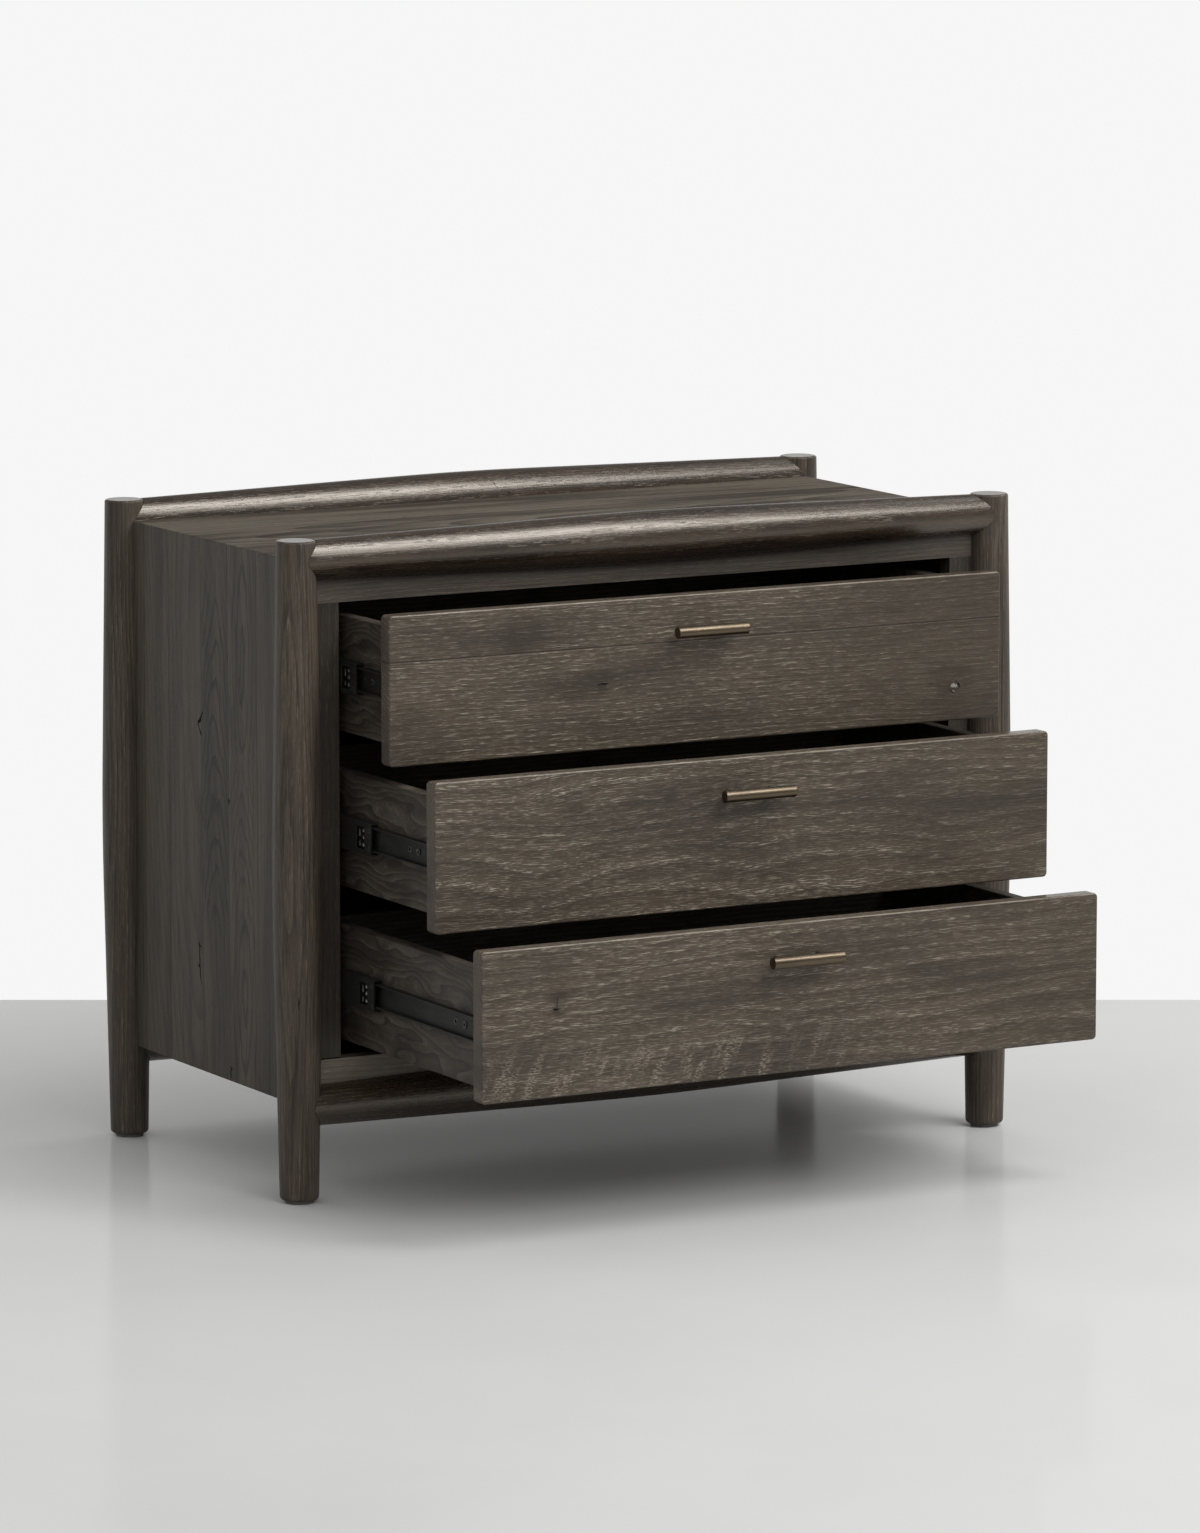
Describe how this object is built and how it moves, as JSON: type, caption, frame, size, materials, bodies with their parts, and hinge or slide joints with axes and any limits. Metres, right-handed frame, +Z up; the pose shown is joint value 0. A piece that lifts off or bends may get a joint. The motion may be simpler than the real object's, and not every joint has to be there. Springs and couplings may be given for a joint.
{
  "type": "nightstand",
  "caption": "Wide low nightstand: a panelled oak box held by turned, double-tapered legs and rails, with inset drawers on ball-bearing slides and short round bar pulls, shown with drawers open.",
  "frame": {"origin": "centre of the footprint of the four legs, on the floor", "axes": "+X to the right of someone facing the drawers, +Y to the back, +Z up"},
  "size_m": [0.847, 0.7303, 0.6658],
  "materials": {
    "smoked_oak_front": "smoked limed oak, satin lacquer",
    "smoked_oak_panel": "smoked oak veneer, satin lacquer",
    "smoked_oak_turned": "smoked solid oak, satin lacquer",
    "smoked_oak_frame": "smoked solid oak, satin lacquer",
    "drawer_box_oak": "smoked oak, matt",
    "drawer_base_ply": "stained plywood, matt",
    "batten_wood": "stained hardwood, matt",
    "dowel_wood": "bare beech",
    "black_slide": "black zinc, satin",
    "black_screw": "black zinc",
    "cage_steel": "dark zinc with bright balls",
    "bronze": "antique bronze, satin",
    "screw_steel": "zinc",
    "glide_plastic": "moulded, matt"
  },
  "bodies": {
    "cabinet": {"front_left_leg": "smoked_oak_turned", "front_right_leg": "smoked_oak_turned", "back_left_leg": "smoked_oak_turned", "back_right_leg": "smoked_oak_turned", "top_front_rail": "smoked_oak_turned", "top_back_rail": "smoked_oak_turned", "bottom_front_rail": "smoked_oak_turned", "bottom_back_rail": "smoked_oak_turned", "left_side_panel": "smoked_oak_panel", "right_side_panel": "smoked_oak_panel", "top_panel": "smoked_oak_panel", "bottom_panel": "smoked_oak_panel", "back_panel": "smoked_oak_panel", "face_top_strip": "smoked_oak_frame", "face_bottom_strip": "smoked_oak_frame", "left_stile": "smoked_oak_frame", "right_stile": "smoked_oak_frame", "left_slide_battens": "batten_wood", "right_slide_battens": "batten_wood", "cabinet_slide_members": "black_slide", "cabinet_slide_screws": "black_screw", "rail_dowels": "dowel_wood", "leg_glides": "glide_plastic"},
    "top_drawer": {"top_drawer_front": "smoked_oak_front", "top_drawer_left_side": "drawer_box_oak", "top_drawer_right_side": "drawer_box_oak", "top_drawer_back": "drawer_box_oak", "top_drawer_base": "drawer_base_ply", "top_pull_bar": "bronze", "top_pull_posts": "bronze", "top_pull_screws": "screw_steel", "top_inner_slide_members": "black_slide", "top_slide_screws": "black_screw"},
    "middle_drawer": {"middle_drawer_front": "smoked_oak_front", "middle_drawer_left_side": "drawer_box_oak", "middle_drawer_right_side": "drawer_box_oak", "middle_drawer_back": "drawer_box_oak", "middle_drawer_base": "drawer_base_ply", "middle_pull_bar": "bronze", "middle_pull_posts": "bronze", "middle_pull_screws": "screw_steel", "middle_inner_slide_members": "black_slide", "middle_slide_screws": "black_screw"},
    "bottom_drawer": {"bottom_drawer_front": "smoked_oak_front", "bottom_drawer_left_side": "drawer_box_oak", "bottom_drawer_right_side": "drawer_box_oak", "bottom_drawer_back": "drawer_box_oak", "bottom_drawer_base": "drawer_base_ply", "bottom_pull_bar": "bronze", "bottom_pull_posts": "bronze", "bottom_pull_screws": "screw_steel", "bottom_inner_slide_members": "black_slide", "bottom_slide_screws": "black_screw"},
    "top_slides": {"top_intermediate_slide_members": "black_slide", "top_ball_cages": "cage_steel"},
    "middle_slides": {"middle_intermediate_slide_members": "black_slide", "middle_ball_cages": "cage_steel"},
    "bottom_slides": {"bottom_intermediate_slide_members": "black_slide", "bottom_ball_cages": "cage_steel"}
  },
  "joints": [
    {"name": "top_drawer_slide", "type": "slide", "parent": "cabinet", "child": "top_drawer", "axis": [0, -1, 0], "range_m": [-0.102, 0.248]},
    {"name": "top_intermediate_slide", "type": "slide", "parent": "cabinet", "child": "top_slides", "axis": [0, -1, 0], "range_m": [-0.0502, 0.12177]},
    {"name": "middle_drawer_slide", "type": "slide", "parent": "cabinet", "child": "middle_drawer", "axis": [0, -1, 0], "range_m": [-0.1955, 0.1545]},
    {"name": "middle_intermediate_slide", "type": "slide", "parent": "cabinet", "child": "middle_slides", "axis": [0, -1, 0], "range_m": [-0.0802, 0.06342]},
    {"name": "bottom_drawer_slide", "type": "slide", "parent": "cabinet", "child": "bottom_drawer", "axis": [0, -1, 0], "range_m": [-0.29, 0.06]},
    {"name": "bottom_intermediate_slide", "type": "slide", "parent": "cabinet", "child": "bottom_slides", "axis": [0, -1, 0], "range_m": [-0.0852, 0.01779]}
  ],
  "couplings": [
    {"joint": "top_intermediate_slide", "follows": "top_drawer_slide", "ratio": 0.4902},
    {"joint": "middle_intermediate_slide", "follows": "middle_drawer_slide", "ratio": 0.40921},
    {"joint": "bottom_intermediate_slide", "follows": "bottom_drawer_slide", "ratio": 0.2931}
  ]
}
